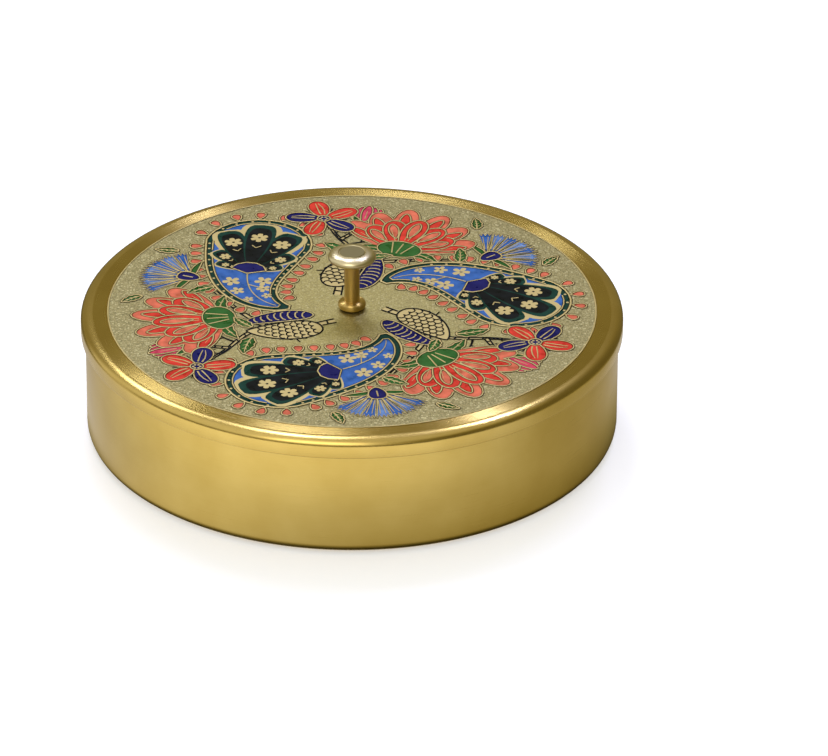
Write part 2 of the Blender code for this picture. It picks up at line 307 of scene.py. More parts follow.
def finish_tree(tree, given, result, geometry):
    """Ends a geometry tree in plain geometry with its material."""
    real = add(tree, "GeometryNodeRealizeInstances", {"Geometry": geometry}).outputs[0]
    painted = add(tree, "GeometryNodeSetMaterial",
                  {"Geometry": real, "Material": given["Material"]})
    tree.links.new(painted.outputs[0], result[0])
    return tree


@built_once
def turned_shape(name):
    """Geometry nodes: turns a row of points about Z, closed where they meet the axis or each
    other."""
    tree, given, result = geometry_tree(name, ("Steps", WHOLE), ("Merge Distance", NUMBER))
    profile = given["Geometry"]
    steps = given["Steps"]
    size = add(tree, "GeometryNodeAttributeDomainSize", {"Geometry": profile}, component="MESH")
    rows = size.outputs["Point Count"]
    columns = calculate(tree, "ADD", steps, 1)
    grid = add(tree, "GeometryNodeMeshGrid", {"Vertices X": columns, "Vertices Y": rows})
    index = add(tree, "GeometryNodeInputIndex").outputs[0]
    row = calculate(tree, "MODULO", index, rows)
    column = calculate(tree, "FLOOR", calculate(tree, "DIVIDE", index, rows))
    position = add(tree, "GeometryNodeInputPosition").outputs[0]
    point = add(tree, "GeometryNodeSampleIndex",
                {"Geometry": profile, "Value": position, "Index": row},
                data_type="FLOAT_VECTOR", domain="POINT").outputs["Value"]
    turned = add(tree, "ShaderNodeVectorRotate",
                 {"Vector": point, "Angle": turn_share(tree, column, steps)},
                 rotation_type="Z_AXIS").outputs[0]
    placed = add(tree, "GeometryNodeSetPosition",
                 {"Geometry": grid.outputs["Mesh"], "Position": turned})
    merged = add(tree, "GeometryNodeMergeByDistance",
                 {"Geometry": placed.outputs[0], "Distance": given["Merge Distance"]})
    return finish_tree(tree, given, result, merged.outputs[0])


def repeat_round(tree, geometry, repeats):
    """Nodes that copy a geometry round the Z axis."""
    points = add(tree, "GeometryNodePoints", {"Count": repeats}).outputs[0]
    index = add(tree, "GeometryNodeInputIndex").outputs[0]
    turned = add(tree, "ShaderNodeCombineXYZ", {"Z": turn_share(tree, index, repeats)}).outputs[0]
    rotation = add(tree, "FunctionNodeEulerToRotation", {0: turned}).outputs[0]
    copies = add(tree, "GeometryNodeInstanceOnPoints",
                 {"Points": points, "Instance": geometry, "Rotation": rotation})
    return copies.outputs[0]


@built_once
def repeated_fields(name):
    """Geometry nodes: the enamel fields of one sector, repeated round the axis."""
    tree, given, result = geometry_tree(name, ("Repeats", WHOLE))
    copies = repeat_round(tree, given["Geometry"], given["Repeats"])
    return finish_tree(tree, given, result, copies)


@built_once
def raised_lines(name):
    """Geometry nodes: sweeps a flat round section along each line and repeats it round the axis."""
    tree, given, result = geometry_tree(
        name, ("Repeats", WHOLE), ("Sides", WHOLE), ("Flatness", NUMBER))
    section = add(tree, "GeometryNodeCurvePrimitiveCircle",
                  {"Resolution": given["Sides"], "Radius": 1.0}).outputs[0]
    scale = add(tree, "ShaderNodeCombineXYZ", {"X": 1.0, "Y": given["Flatness"], "Z": 1.0})
    flat = add(tree, "GeometryNodeTransform", {"Geometry": section, "Scale": scale.outputs[0]})
    radius = add(tree, "GeometryNodeInputRadius").outputs[0]
    swept = add(tree, "GeometryNodeCurveToMesh",
                {"Curve": given["Geometry"], "Profile Curve": flat.outputs[0],
                 "Scale": radius, "Fill Caps": True})
    copies = repeat_round(tree, swept.outputs[0], given["Repeats"])
    return finish_tree(tree, given, result, copies)


def evaluated_mesh(piece):
    """A plain mesh of a piece with its modifiers worked out."""
    graph = bpy.context.evaluated_depsgraph_get()
    return bpy.data.meshes.new_from_object(piece.evaluated_get(graph))


def run_tree(piece, tree, values):
    """Runs a geometry tree on a piece and returns the plain mesh object that takes its place."""
    change = piece.modifiers.new(tree.name, "NODES")
    change.node_group = tree
    for socket in tree.interface.items_tree:
        if socket.in_out == "INPUT" and socket.name in values:
            change[socket.identifier] = values[socket.name]
    mesh = evaluated_mesh(piece)
    name = piece.name
    bpy.data.objects.remove(piece)
    mesh.name = name
    metals = [m for m in mesh.materials if m]
    mesh.materials.clear()
    for metal in metals:
        mesh.materials.append(metal)
    for face in mesh.polygons:
        face.material_index = 0
    return new_object(name, mesh)


# Meshes

def new_object(name, data):
    made = bpy.data.objects.new(name, data)
    bpy.context.scene.collection.objects.link(made)
    return made


def mesh_from(name, work):
    """A mesh with the name given from a finished bmesh, which is freed."""
    mesh = bpy.data.meshes.new(name)
    work.to_mesh(mesh)
    work.free()
    return mesh


def arc(centre_r, centre_z, radius, start, end, steps=ARC_STEPS, upright=None):
    """Points of an arc: 0 degrees points away from the axis, and 90 up.

    It has an upright radius of its own where that differs from the level one."""
    points = []
    for i in range(steps + 1):
        angle = math.radians(start + (end - start) * i / steps)
        points.append((centre_r + radius * math.cos(angle),
                       centre_z + (radius if upright is None else upright) * math.sin(angle)))
    return points


def face_outwards(mesh):
    """Turns a closed mesh's faces outwards and shades it smooth between its sharp edges."""
    work = bmesh.new()
    work.from_mesh(mesh)
    if work.calc_volume(signed=True) < 0:
        bmesh.ops.reverse_faces(work, faces=work.faces)
    work.to_mesh(mesh)
    work.free()
    mesh.shade_smooth()
    mesh.set_sharp_from_angle(angle=SHARP_ANGLE)


def turn(name, profile, steps, material, centre=(0.0, 0.0)):
    """A turned piece from its closed profile of (radius, height) points."""
    mesh = bpy.data.meshes.new(name)
    mesh.from_pydata([(r, 0, z) for r, z in profile], [], [])
    piece = run_tree(new_object(name, mesh), turned_shape(),
                     {"Steps": steps, "Merge Distance": MERGE_DISTANCE, "Material": material})
    face_outwards(piece.data)
    piece.data.transform(Matrix.Translation((*centre, 0)))
    return piece


def finish_piece(piece, body, slot, *nodes):
    """Makes a piece ride on its body and stand for the nodes named; the slot given is not used."""
    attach(piece, body)
    if nodes:
        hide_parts(*nodes)


# Materials

def from_axis(tree, place):
    """The level part of a place, its length and the place's height."""
    parts = add(tree, "ShaderNodeSeparateXYZ", {0: place}).outputs
    level = add(tree, "ShaderNodeCombineXYZ", {"X": parts["X"], "Y": parts["Y"]}).outputs[0]
    radius = add(tree, "ShaderNodeVectorMath", {0: level}, operation="LENGTH").outputs["Value"]
    return level, radius, parts["Z"]


@built_once
def spun_lines(name):
    """Shader group: fine lines round the axis, as a lathe or a brush leaves them."""
    tree, given, result = new_tree(
        name, "ShaderNodeTree", [("Vector", VECTOR), ("Lines", NUMBER), ("Breaks", NUMBER)],
        [("Lines", NUMBER)])
    level, radius, height = from_axis(tree, given["Vector"])
    heading = add(tree, "ShaderNodeVectorMath", {0: level}, operation="NORMALIZE").outputs[0]
    around = add(tree, "ShaderNodeVectorMath", {0: heading, "Scale": given["Breaks"]},
                 operation="SCALE").outputs[0]
    row = calculate(tree, "MULTIPLY", calculate(tree, "SUBTRACT", radius, height), given["Lines"])
    noise = add(tree, "ShaderNodeTexNoise",
                {"Vector": around, "W": row, "Scale": 1.0, "Detail": 2.0}, noise_dimensions="4D")
    tree.links.new(noise.outputs[0], result[0])
    return tree


@built_once
def patches(name):
    """Shader group: soft uneven patches, from 0 to 1."""
    tree, given, result = new_tree(
        name, "ShaderNodeTree", [("Vector", VECTOR), ("Scale", NUMBER), ("Detail", NUMBER)],
        [("Patches", NUMBER)])
    noise = add(tree, "ShaderNodeTexNoise",
                {key: given[key] for key in ("Vector", "Scale", "Detail")})
    tree.links.new(grade(tree, noise.outputs[0], 0.3, 0.7), result[0])
    return tree


def object_place(tree):
    return add(tree, "ShaderNodeTexCoord").outputs["Object"]


def placed_group(tree, inner, **values):
    """The output of a node group with the inputs given, on Object coordinates."""
    named = {key.capitalize(): value for key, value in values.items()}
    return add(tree, "ShaderNodeGroup", {"Vector": object_place(tree)} | named,
               node_tree=inner).outputs[0]


def mix(tree, factor, first, second):
    """A colour mix of two plain colours or sockets."""
    return add(tree, "ShaderNodeMix", {0: factor, 6: first, 7: second}, data_type="RGBA").outputs[2]


def grade(tree, value, start, end, low=0.0, high=1.0):
    """A value's range from start to end, taken to low and high and held there beyond."""
    return add(tree, "ShaderNodeMapRange", {
        0: value, "From Min": start, "From Max": end, "To Min": low, "To Max": high}).outputs[0]


def spread(tree, value, low, high):
    """A 0 to 1 value stretched to a range."""
    return grade(tree, value, 0.0, 1.0, low, high)


def bumps(tree, pattern, strength, depth):
    """A normal from a pattern of heights."""
    return add(tree, "ShaderNodeBump",
               {"Height": pattern, "Strength": strength, "Distance": depth}).outputs[0]


def new_material(name, **settings):
    """A material with its node tree and its shader, whose plain inputs may be given."""
    made = bpy.data.materials.new(name)
    made.use_nodes = True
    tree = made.node_tree
    shader = tree.nodes["Principled BSDF"]
    set_inputs(tree, shader, {key.replace("_", " "): value for key, value in settings.items()})
    return made, tree, shader


def spun_metal(name, light, dark, roughness, anisotropic=0.0, lines=9000.0):
    """Metal with fine turned lines and soft patches of tarnish."""
    made, tree, shader = new_material(name, Metallic=1.0)
    rows = placed_group(tree, spun_lines(), lines=lines, breaks=LINE_BREAKS)
    soft = placed_group(tree, patches(), scale=60.0, detail=3.0)
    blend = calculate(tree, "ADD", calculate(tree, "MULTIPLY", rows, 0.5),
                      calculate(tree, "MULTIPLY", soft, 0.5))
    set_inputs(tree, shader, {
        "Base Color": mix(tree, blend, dark, light),
        "Roughness": spread(tree, rows, roughness * 0.8, roughness * 1.2),
        "Normal": bumps(tree, rows, strength=0.10, depth=LINE_DEPTH)})
    if anisotropic:
        tangent = add(tree, "ShaderNodeTangent", direction_type="RADIAL", axis="Z").outputs[0]
        set_inputs(tree, shader, {"Anisotropic": anisotropic, "Anisotropic Rotation": 0.25,
                                  "Tangent": tangent})
    return made


def stippled_metal(name, colours, radius):
    """The lid's field: a close fine stipple, with painted glints for its bright specks and painted
    shade in its hollows, both stronger towards the rim; its middle is painted warmer, a painted
    reflection of warm surroundings.
    """
    made, tree, shader = new_material(name, Metallic=1.0)
    place = object_place(tree)
    out = add(tree, "ShaderNodeVectorMath", {0: place}, operation="LENGTH").outputs["Value"]
    soft = placed_group(tree, patches(), scale=28.0, detail=4.0)
    uneven = calculate(tree, "ADD", out, calculate(tree, "MULTIPLY", soft, radius * 0.35))
    # Painted reflection: warmer in the middle, greyer towards the rim.
    outside = grade(tree, uneven, radius * 0.50, radius * 1.15)
    ground = mix(tree, outside, colours.ground_warm, colours.ground)

    cells = add(tree, "ShaderNodeTexVoronoi", {"Vector": place, "Scale": 1900.0},
                feature="F1").outputs
    chance = add(tree, "ShaderNodeSeparateColor", {0: cells["Color"]}).outputs
    # Painted shade: the hollows of the stipple are darkened, more so towards the rim.
    hollows = calculate(tree, "MULTIPLY", grade(tree, cells["Distance"], 0.10, 0.80),
                        spread(tree, outside, 0.45, 0.85))
    stippled = mix(tree, hollows, ground, colours.ground_deep)
    # Painted glints on a share of the cells, more of them towards the rim.
    specks = calculate(tree, "MULTIPLY", grade(tree, chance[0], 0.80, 1.0),
                       spread(tree, outside, 0.25, 0.70))
    set_inputs(tree, shader, {
        "Base Color": mix(tree, specks, stippled, colours.glint),
        "Roughness": spread(tree, chance[1], 0.42, 0.60),
        "Normal": bumps(tree, cells["Distance"], strength=0.4, depth=0.00012)})
    return made


def enamel(name, tint):
    """Glossy enamel, a little uneven in depth."""
    made, tree, shader = new_material(name, Specular_IOR_Level=0.05)
    soft = placed_group(tree, patches(), scale=260.0, detail=2.0)
    deep = [0.72 * part for part in tint]
    thin = [min(1.0, 1.18 * part + 0.004) for part in tint]
    set_inputs(tree, shader, {
        "Base Color": mix(tree, soft, deep, thin),
        "Roughness": spread(tree, soft, 0.24, 0.39),
        "Normal": bumps(tree, soft, strength=0.15, depth=0.0001)})
    return made


def knob_head_metal(name, rim, flat_painted_dark, flat_radius):
    """Polished brass painted pale for the bright reflection on the head, with a rougher flat middle
    painted dark for the dark reflection there.
    """
    made, tree, shader = new_material(name, Metallic=1.0)
    radius = from_axis(tree, object_place(tree))[1]
    # Painted reflection: the flat middle is painted dark and the rim pale.
    middle = grade(tree, radius, flat_radius * 0.96, flat_radius, 1.0, 0.0)
    rows = placed_group(tree, spun_lines(), lines=14000.0, breaks=LINE_BREAKS)
    set_inputs(tree, shader, {
        "Base Color": mix(tree, middle, rim, flat_painted_dark),
        "Roughness": spread(tree, middle, 0.29, 0.38),
        "Normal": bumps(tree, rows, strength=0.05, depth=LINE_DEPTH)})
    return made


# Pan, lid, knob, bowls and spoon

def make_pan(settings):
    shell = settings.shell
    colours = settings.colours
    sheet = shell.pan_sheet
    rim = sheet / 2
    foot = shell.pan_foot
    foot_r = shell.pan_radius - foot
    profile = [(0, 0)]
    profile += arc(foot_r, foot, foot, -90, 0)
    profile += arc(shell.pan_radius - rim, shell.pan_height - rim, rim, 0, 180)
    profile += arc(foot_r, foot, foot - sheet, 0, -90)
    profile += [(0, sheet)]
    metal = spun_metal("pan_brass_spun", colours.brass, colours.brass_dark, 0.30, anisotropic=0.6)
    finish_piece(turn("pan_shell", profile, shell.steps, metal), PAN_BODY, "pan_brass", "box_body")


def make_lid(settings):
    shell = settings.shell
    colours = settings.colours
    top = shell.lid_top
    outer = shell.lid_radius
    sheet = shell.lid_sheet
    wide = shell.shoulder_width
    drop = shell.shoulder_drop
    edge = shell.edge_round
    edge_z = shell.lid_edge + edge
    profile = [(shell.hole_radius, top), (shell.field_radius, top)]
    profile += arc(outer - wide, top - drop, wide, 90, 0, 2 * ARC_STEPS, upright=drop)
    profile += arc(outer - edge, edge_z, edge, 0, -90, ARC_STEPS // 2)
    profile += arc(outer - sheet + edge, edge_z, edge, -90, -180, ARC_STEPS // 2)
    profile += arc(outer - wide, top - drop, wide - sheet, 0, 90, 2 * ARC_STEPS,
                   upright=drop - sheet)
    profile += [(shell.hole_radius, top - sheet), (shell.hole_radius, top)]
    border = spun_metal("lid_brass_spun", colours.brass, colours.brass_dark, 0.255, anisotropic=1.0)
    field = stippled_metal("lid_stippled_field", colours, shell.field_radius)
    bent = spun_metal("lid_brass_bent", colours.brass, colours.brass_dark, 0.24, anisotropic=0.5)
    lid = turn("lid_shell", profile, shell.steps, border)
    lid.data.materials.append(field)
    lid.data.materials.append(bent)
    for face in lid.data.polygons:
        radius = face.center.xy.length
        if face.normal.z > FACES_UP and radius < shell.field_radius:
            face.material_index = 1
        elif radius > outer - wide:
            face.material_index = 2
    finish_piece(lid, LID_BODY, "lid_brass", "lid")


def collar_profile(knob):
    """The ring at the stem's foot, with rounded outer edges."""
    low, high = COLLAR_LOW.z, COLLAR_HIGH.z
    soft = knob.collar_round
    inset = COLLAR_HIGH.x - soft
    return [(knob.stem_radius, low), (knob.stem_radius, high),
            *arc(inset, high - soft, soft, 90, 0), *arc(inset, low + soft, soft, 0, -90),
            (knob.stem_radius, low)]


def stem_profile(knob):
    """The shank, with its flare and straight edge under the head."""
    wide, top = STEM_HIGH.x, HEAD_LOW.z
    flare = arc(wide, top - knob.stem_rim - knob.stem_flare, wide - knob.stem_radius, 90, 180,
                upright=knob.stem_flare)
    return [(0, top), (wide, top), *flare, (knob.stem_radius, STEM_LOW.z), (0, STEM_LOW.z)]


def head_profile(knob):
    """The button, with a line round its flat middle and a round rim."""
    wide, top = HEAD_HIGH.x, HEAD_HIGH.z
    flat, drop, groove = knob.head_flat, knob.head_drop, knob.groove
    belly = HEAD_LOW.z + drop
    rim = arc(flat, belly, wide - flat, 86, 0, 2 * ARC_STEPS, upright=top - HEAD_LOW.z - drop)
    return [(0, top), (flat - groove, top), (flat, top - groove), *rim,
            *arc(wide - drop, belly, drop, 0, -90), (0, HEAD_LOW.z)]


def make_knob(settings):
    knob = settings.knob
    colours = settings.colours
    turned = spun_metal("turned_brass_polished", colours.turned, colours.brass_dark, 0.36,
                        anisotropic=0.97)
    # The head's pale rim and dark middle are painted reflections.
    pale = knob_head_metal("head_brass_painted_sheen", colours.pale, colours.pale_dull, knob.head_flat)
    for node, profile, metal, slot in (("knob_collar", collar_profile, turned, "turned_brass"),
                                       ("knob_stem", stem_profile, turned, "turned_brass"),
                                       ("knob_head", head_profile, pale, "pale_brass")):
        piece = turn(f"{node}_turned", profile(knob), knob.steps, metal)
        finish_piece(piece, LID_BODY, slot, node)


def make_screw(settings):
    steel = spun_metal("screw_steel_turned", settings.colours.steel, settings.colours.steel, 0.35)
    for name in ("knob_screw", "knob_washer"):
        node = frame["nodes"][name]
        node.data.materials.clear()
        node.data.materials.append(steel)


def bowl_profile(bowl, low, high):
    """A bowl about its own axis: rounded foot, tapered wall and turned-out lip."""
    sheet, soft = bowl.sheet, bowl.lip_round
    outer = (high.x - low.x) / 2
    wall = outer - bowl.lip - soft
    foot_r = wall - bowl.taper - bowl.foot
    foot_z = low.z + bowl.foot
    lip_z = high.z - sheet - soft
    half = sheet / 2
    return [(0, low.z), *arc(foot_r, foot_z, bowl.foot, -90, 0),
            *arc(wall + soft, lip_z, soft, 180, 90),
            *arc(outer - half, high.z - half, half, -90, 90),
            *arc(wall + soft, lip_z, soft + sheet, 90, 180),
            *arc(foot_r, foot_z, bowl.foot - sheet, 0, -90), (0, low.z + sheet)]


def make_bowls(settings):
    bowl = settings.bowl
    metal = spun_metal("bowl_brass_spun", settings.colours.bowl, settings.colours.brass, 0.24,
                       lines=7000.0)
    for body, (node, *_) in frame["record"]["behaviour"]["bodies"].items():
        if node.startswith("spice_bowl"):
            low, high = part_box(node)
            centre = ((low.x + high.x) / 2, (low.y + high.y) / 2)
            piece = turn(node.replace("spice_bowl", "bowl_spun"), bowl_profile(bowl, low, high),
                         bowl.steps, metal, centre)
            finish_piece(piece, body, "bowl_brass", node)


def make_spoon(settings):
    """The spoon: a grid laid out as an oval dish, a neck and a handle, given its thickness."""
    bowl = settings.bowl
    total = SPOON_HIGH.x - SPOON_LOW.x
    half_dish = bowl.dish_length / 2
    half_width = (SPOON_HIGH.y - SPOON_LOW.y) / 2
    middle_y = (SPOON_HIGH.y + SPOON_LOW.y) / 2
    neck = bowl.neck_width / 2
    end = bowl.end_width / 2

    def round_end(off, radius):
        return math.sqrt(max(0, 1 - (off / radius) ** 2))

    def half_width_at(s):
        dish = half_width * round_end(s - half_dish, half_dish)
        run = max(0, s - half_dish) / (total - half_dish)
        grip = (neck + (end - neck) * run) * round_end(max(0, s - total + end), end)
        grip = grip if s > half_dish else 0
        return (dish ** NECK_POWER + grip ** NECK_POWER) ** (1 / NECK_POWER)

    def height_at(s, y):
        off_middle = ((s - half_dish) / half_dish) ** 2 + (y / half_width) ** 2
        run = min(1, max(0, s - bowl.dish_length) / (total - bowl.dish_length))
        fall = bowl.spoon_depth * run * run * (3 - 2 * run)
        dish = bowl.spoon_depth * (1 - max(0, 1 - off_middle))
        return dish - fall + bowl.arch * math.sin(math.pi * run)

    grid = bmesh.new()
    bmesh.ops.create_grid(grid, x_segments=120, y_segments=20, size=1)
    for vert in grid.verts:
        s = total * (1 - math.cos(math.pi * (vert.co.x + 1) / 2)) / 2
        y = half_width_at(s) * vert.co.y
        vert.co = (SPOON_HIGH.x - s, middle_y - y, SPOON_LOW.z + height_at(s, y))
    bmesh.ops.remove_doubles(grid, verts=grid.verts, dist=MERGE_DISTANCE)
    piece = new_object("spoon_pressed", mesh_from("spoon_pressed", grid))
    wall = piece.modifiers.new("wall", "SOLIDIFY")
    wall.thickness = bowl.spoon_sheet
    wall.offset = 1
    solid = evaluated_mesh(piece)
    piece.modifiers.clear()
    piece.data = solid
    face_outwards(solid)
    solid.materials.append(
        spun_metal("spoon_brass_polished", settings.colours.spoon, settings.colours.bowl, 0.20))
    finish_piece(piece, "loose_spoon", "spoon_brass", "spoon")


# Ornament, drawn flat with complex numbers: the real part is X and the imaginary part is Y

def unit(angle):
    return cmath.exp(1j * angle)


def moved(points, at, heading, flip=False):
    """Points drawn from 0 along +X, turned to a heading and moved to their place."""
    return [at + unit(heading) * (p.conjugate() if flip else p) for p in points]


def along(t, bend, aside=0.0):
    """A place on a bent spine that runs from 0 along +X, at X = t, moved aside from it."""
    return complex(t, bend * t * t + aside)


def path_normals(spine):
    """Unit vectors to the left of a path."""
    normals = []
    for i in range(len(spine)):
        step = spine[min(i + 1, len(spine) - 1)] - spine[max(i - 1, 0)]
        normals.append(1j * step / abs(step))
    return normals


def outline(spine, halves):
    """The closed outline round a path with a half width at each of its points."""
    normals = path_normals(spine)
    right = [p - n * h for p, n, h in zip(spine, normals, halves)]
    left = [p + n * h for p, n, h in zip(spine, normals, halves)]
    kept = []
    for p in right + left[::-1]:
        if not kept or abs(p - kept[-1]) > POINT_GAP:
            kept.append(p)
    if abs(kept[0] - kept[-1]) <= POINT_GAP:
        kept.pop()
    return kept


def blade(size, width, bend=0.0, foot=0.7, tip=0.7, lobes=0, steps=12):
    """A petal or leaf from its foot at 0. A larger foot or tip share is more pointed there."""
    peak = (foot / (foot + tip)) ** foot * (tip / (foot + tip)) ** tip
    shares = [(1 - math.cos(math.pi * i / steps)) / 2 for i in range(steps + 1)]
    halves = []
    for t in shares:
        notch = 1 - LOBE_DEPTH * math.sin(math.pi * lobes * t) ** 2
        halves.append(width / 2 * t ** foot * (1 - t) ** tip / peak * notch)
    return outline([size * along(t, bend) for t in shares], halves)


def ring(at, radius, steps=12):
    return [at + radius * unit(math.tau * i / steps) for i in range(steps)]


def smooth_path(corners, steps=8):
    """A smooth curve through the points given."""
    path = []
    ends = [2 * corners[0] - corners[1], *corners, 2 * corners[-1] - corners[-2]]
    for a, b, c, d in zip(ends, ends[1:], ends[2:], ends[3:]):
        for i in range(steps):
            t = i / steps
            path.append(0.5 * (2 * b + (c - a) * t + (2 * a - 5 * b + 4 * c - d) * t ** 2
                               + (3 * b - a - 3 * c + d) * t ** 3))
    return path + [corners[-1]]


def inside(p, points):
    """Whether a point lies within a closed outline."""
    hit = False
    a = points[-1]
    for b in points:
        if (a.imag > p.imag) != (b.imag > p.imag):
            if p.real < a.real + (p.imag - a.imag) * (b.real - a.real) / (b.imag - a.imag):
                hit = not hit
        a = b
    return hit


class Field:
    """One flat field of enamel or gold, with its colour and its level over the lid."""

    def __init__(self, tint, points):
        self.tint = tint
        self.points = points
        xs = [p.real for p in points]
        ys = [p.imag for p in points]
        self.box = min(xs), max(xs), min(ys), max(ys)
        self.level = 0

    def covers(self, p):
        low_x, high_x, low_y, high_y = self.box
        return low_x < p.real < high_x and low_y < p.imag < high_y and inside(p, self.points)

    def meets(self, other):
        a, b = self.box, other.box
        apart = a[0] > b[1] or b[0] > a[1] or a[2] > b[3] or b[2] > a[3]
        return not apart and (any(self.covers(p) for p in other.points)
                              or any(other.covers(p) for p in self.points))


class Drawing:
    """The fields and lines of one sector, in the order in which they are laid on each other.

    Each field is kept with its copies in the sectors beside this one, which it may reach into."""

    def __init__(self, sizes):
        self.sizes = sizes
        self.turns = [unit(math.tau * k / sizes.repeats) for k in (0, 1, -1)]
        self.laid = []
        self.lines = []

    def field(self, tint, points, edge="gold", width=None):
        copies = [Field(tint, [p * turned for p in points]) for turned in self.turns]
        under = [others[0].level for others in self.laid if any(copies[0].meets(o) for o in others)]
        copies[0].level = 1 + max(under, default=0)
        self.laid.append(copies)
        if edge:
            width = width or self.sizes.thin_line
            if edge == "gold":
                self.line("edge", points, width + 2 * self.sizes.edge, closed=True)
            self.line(edge, points, width, closed=True)

    def dots(self, tint, places, radius, steps=6):
        """Small round fields without an edge."""
        for at in places:
            self.field(tint, ring(at, radius, steps), edge=None)

    def line(self, tint, points, width, closed=False, taper=0.0):
        if closed:
            points = points + points[:1]
        last = len(points) - 1
        halves = [width / 2 * (1 - taper * i / last) for i in range(len(points))]
        self.lines.append((tint, points, halves, len(self.laid)))

    def thin(self, points, share=1.0, taper=0.0):
        """A gold line inside a motif, as a share of the thin line's width."""
        self.line("gold", points, self.sizes.thin_line * share, taper=taper)

    def dark(self, points, share=1.0, taper=0.0):
        """A dark line, as a share of the dark line's width."""
        self.line("black", points, self.sizes.dark_line * share, taper=taper)

    def visible_lines(self, tint):
        """The stretches of a colour's lines that no later field covers."""
        stretches = []
        for line_tint, points, halves, laid_before in self.lines:
            if line_tint != tint:
                continue
            later = [field for copies in self.laid[laid_before:] for field in copies]
            stretch = []
            for a, b, half in zip(points, points[1:], halves):
                parts = max(1, math.ceil(abs(b - a) / CUT_STEP))
                for k in range(parts):
                    p = a + (b - a) * k / parts
                    if any(field.covers(p) for field in later):
                        if len(stretch) > 1:
                            stretches.append(stretch)
                        stretch = []
                    elif k == 0 or not stretch:
                        stretch.append((p, half))
                    elif k == parts - 1 and any(field.covers(b) for field in later):
                        stretch.append((p, half))
            if stretch:
                stretches.append([*stretch, (points[-1], halves[-1])])
        return stretches


def draw_floret(art, at, heading, size, petals=5):
    """A small gold flower: round petals about a dark dot."""
    petal = blade(size * 0.50, size * 0.34, foot=0.5, tip=0.28, steps=6)
    for k in range(petals):
        out = heading + math.tau * k / petals
        art.field("gold", moved(petal, at + unit(out) * size * 0.07, out), edge=None)
    art.dots("black", [at], size * 0.08, 7)


def draw_leaf(art, at, heading, size, width=0.50, bend=0.15, flip=False):
    """A lobed leaf with a gold edge, a midrib and side veins."""
    art.field("green", moved(blade(size, size * width, bend, 0.55, 0.8, lobes=4, steps=20),
                             at, heading, flip))
    rib = moved([size * 0.88 * along(i / 8, bend) for i in range(9)], at, heading, flip)
    art.thin(rib, 1.2, taper=0.5)
    for k in (2, 4, 6):
        for side in (-1, 1):
            vein = rib[k] + unit(heading + side * 0.70) * size * width * (0.40 - 0.03 * k)
            art.thin([rib[k], vein], 0.8, taper=0.6)


def draw_twig(art, at, heading, size, flip=False):
    """A short bare dark twig with a fork."""
    side = -1 if flip else 1
    stem = [at + unit(heading + side * 0.30 * i / 6) * size * i / 6 for i in range(7)]
    art.dark(stem, 1.6, taper=0.55)
    fork = [stem[3] + unit(heading - side * (0.75 + 0.06 * i)) * size * 0.13 * i for i in range(4)]
    art.dark(fork, 1.2, taper=0.6)


def draw_tendril(art, at, heading, size):
    """A thin dark curl to the right, with a dot at its end."""
    path = [at]
    for i in range(20):
        heading -= 0.10 + 0.016 * i
        path.append(path[-1] + unit(heading) * size * 0.11 * (1 - i / 26))
    art.dark(path, taper=0.5)
    art.dots("black", path[-1:], size * 0.045, 8)


def draw_lotus(art, at, heading, size):
    """A lotus: outer petals in coral with red hearts, inner ones in red, and a green cup."""
    for side in (-1, 1):
        draw_leaf(art, at, heading + side * 1.62, size * 0.50, 0.36, 0.22, flip=side < 0)
    rows = (("coral", "red", (-72, 72, -44, 44, -16, 16), 0.98, 0.30, 0.25),
            ("red", "coral", (-58, 58, -30, 30, 0), 0.72, 0.27, 0.22))
    for tint, heart_tint, angles, reach_share, width, curl in rows:
        for angle in angles:
            out = heading + math.radians(angle)
            reach = size * reach_share * (1.0 - 0.0022 * abs(angle))
            bend = -curl * angle / 72
            art.field(tint, moved(blade(reach, size * width, bend, 0.95, 0.50), at, out))
            heart = moved(blade(reach * 0.50, size * width * 0.42, bend * 0.5, 0.8, 0.6), at, out)
            shift = unit(out) * along(0.38, bend) * reach
            art.field(heart_tint, [p + shift for p in heart])
            for aside in (-0.13, 0.13):
                rib = [reach * along(t, bend, aside * width * 2.4 * t) for t in (0.30, 0.50, 0.70)]
                art.thin(moved(rib, at, out), 0.7, taper=0.6)
    cup = [size * 0.20 * complex(p.real * 0.9, p.imag * 1.25) for p in ring(0, 1, 20)]
    art.field("green", moved(cup, at, heading))
    for k in (-1, 0, 1):
        vein = [-0.10 * size + 0.05j * k * size, 0.13 * size + 0.12j * k * size]
        art.thin(moved(vein, at, heading))


def draw_carnation(art, at, heading, size):
    """A fan of blue petals with toothed ends over a dark cup."""
    petals = 7
    fan = math.radians(122)
    step = fan / petals
    foot = size * 0.24
    teeth = [unit((i / 6 - 0.5) * step * 0.84) * size * (1.0 - 0.11 * (i % 2)) for i in range(7)]
    petal = [foot * unit(-step * 0.30), *teeth, foot * unit(step * 0.30)]
    for k in range(petals):
        out = heading - fan / 2 + (k + 0.5) * step
        art.field(("blue", "sky")[k % 2], moved(petal, at, out))
        for aside in (-0.2, 0.2):
            rib = [unit(aside * step) * size * t for t in (0.36, 0.60, 0.84)]
            art.thin(moved(rib, at, out), 0.8, taper=0.4)
    wing = blade(size * 0.62, size * 0.13, 0.30, 0.7, 0.8)
    for side in (-1, 1):
        art.field("green", moved(wing, at, heading + side * 1.15, flip=side < 0))
    cup = blade(size * 0.44, size * 0.34, 0, 0.6, 0.35)
    art.field("navy", moved(cup, at - unit(heading) * size * 0.14, heading))
    art.thin(moved([0j, complex(size * 0.20)], at, heading))


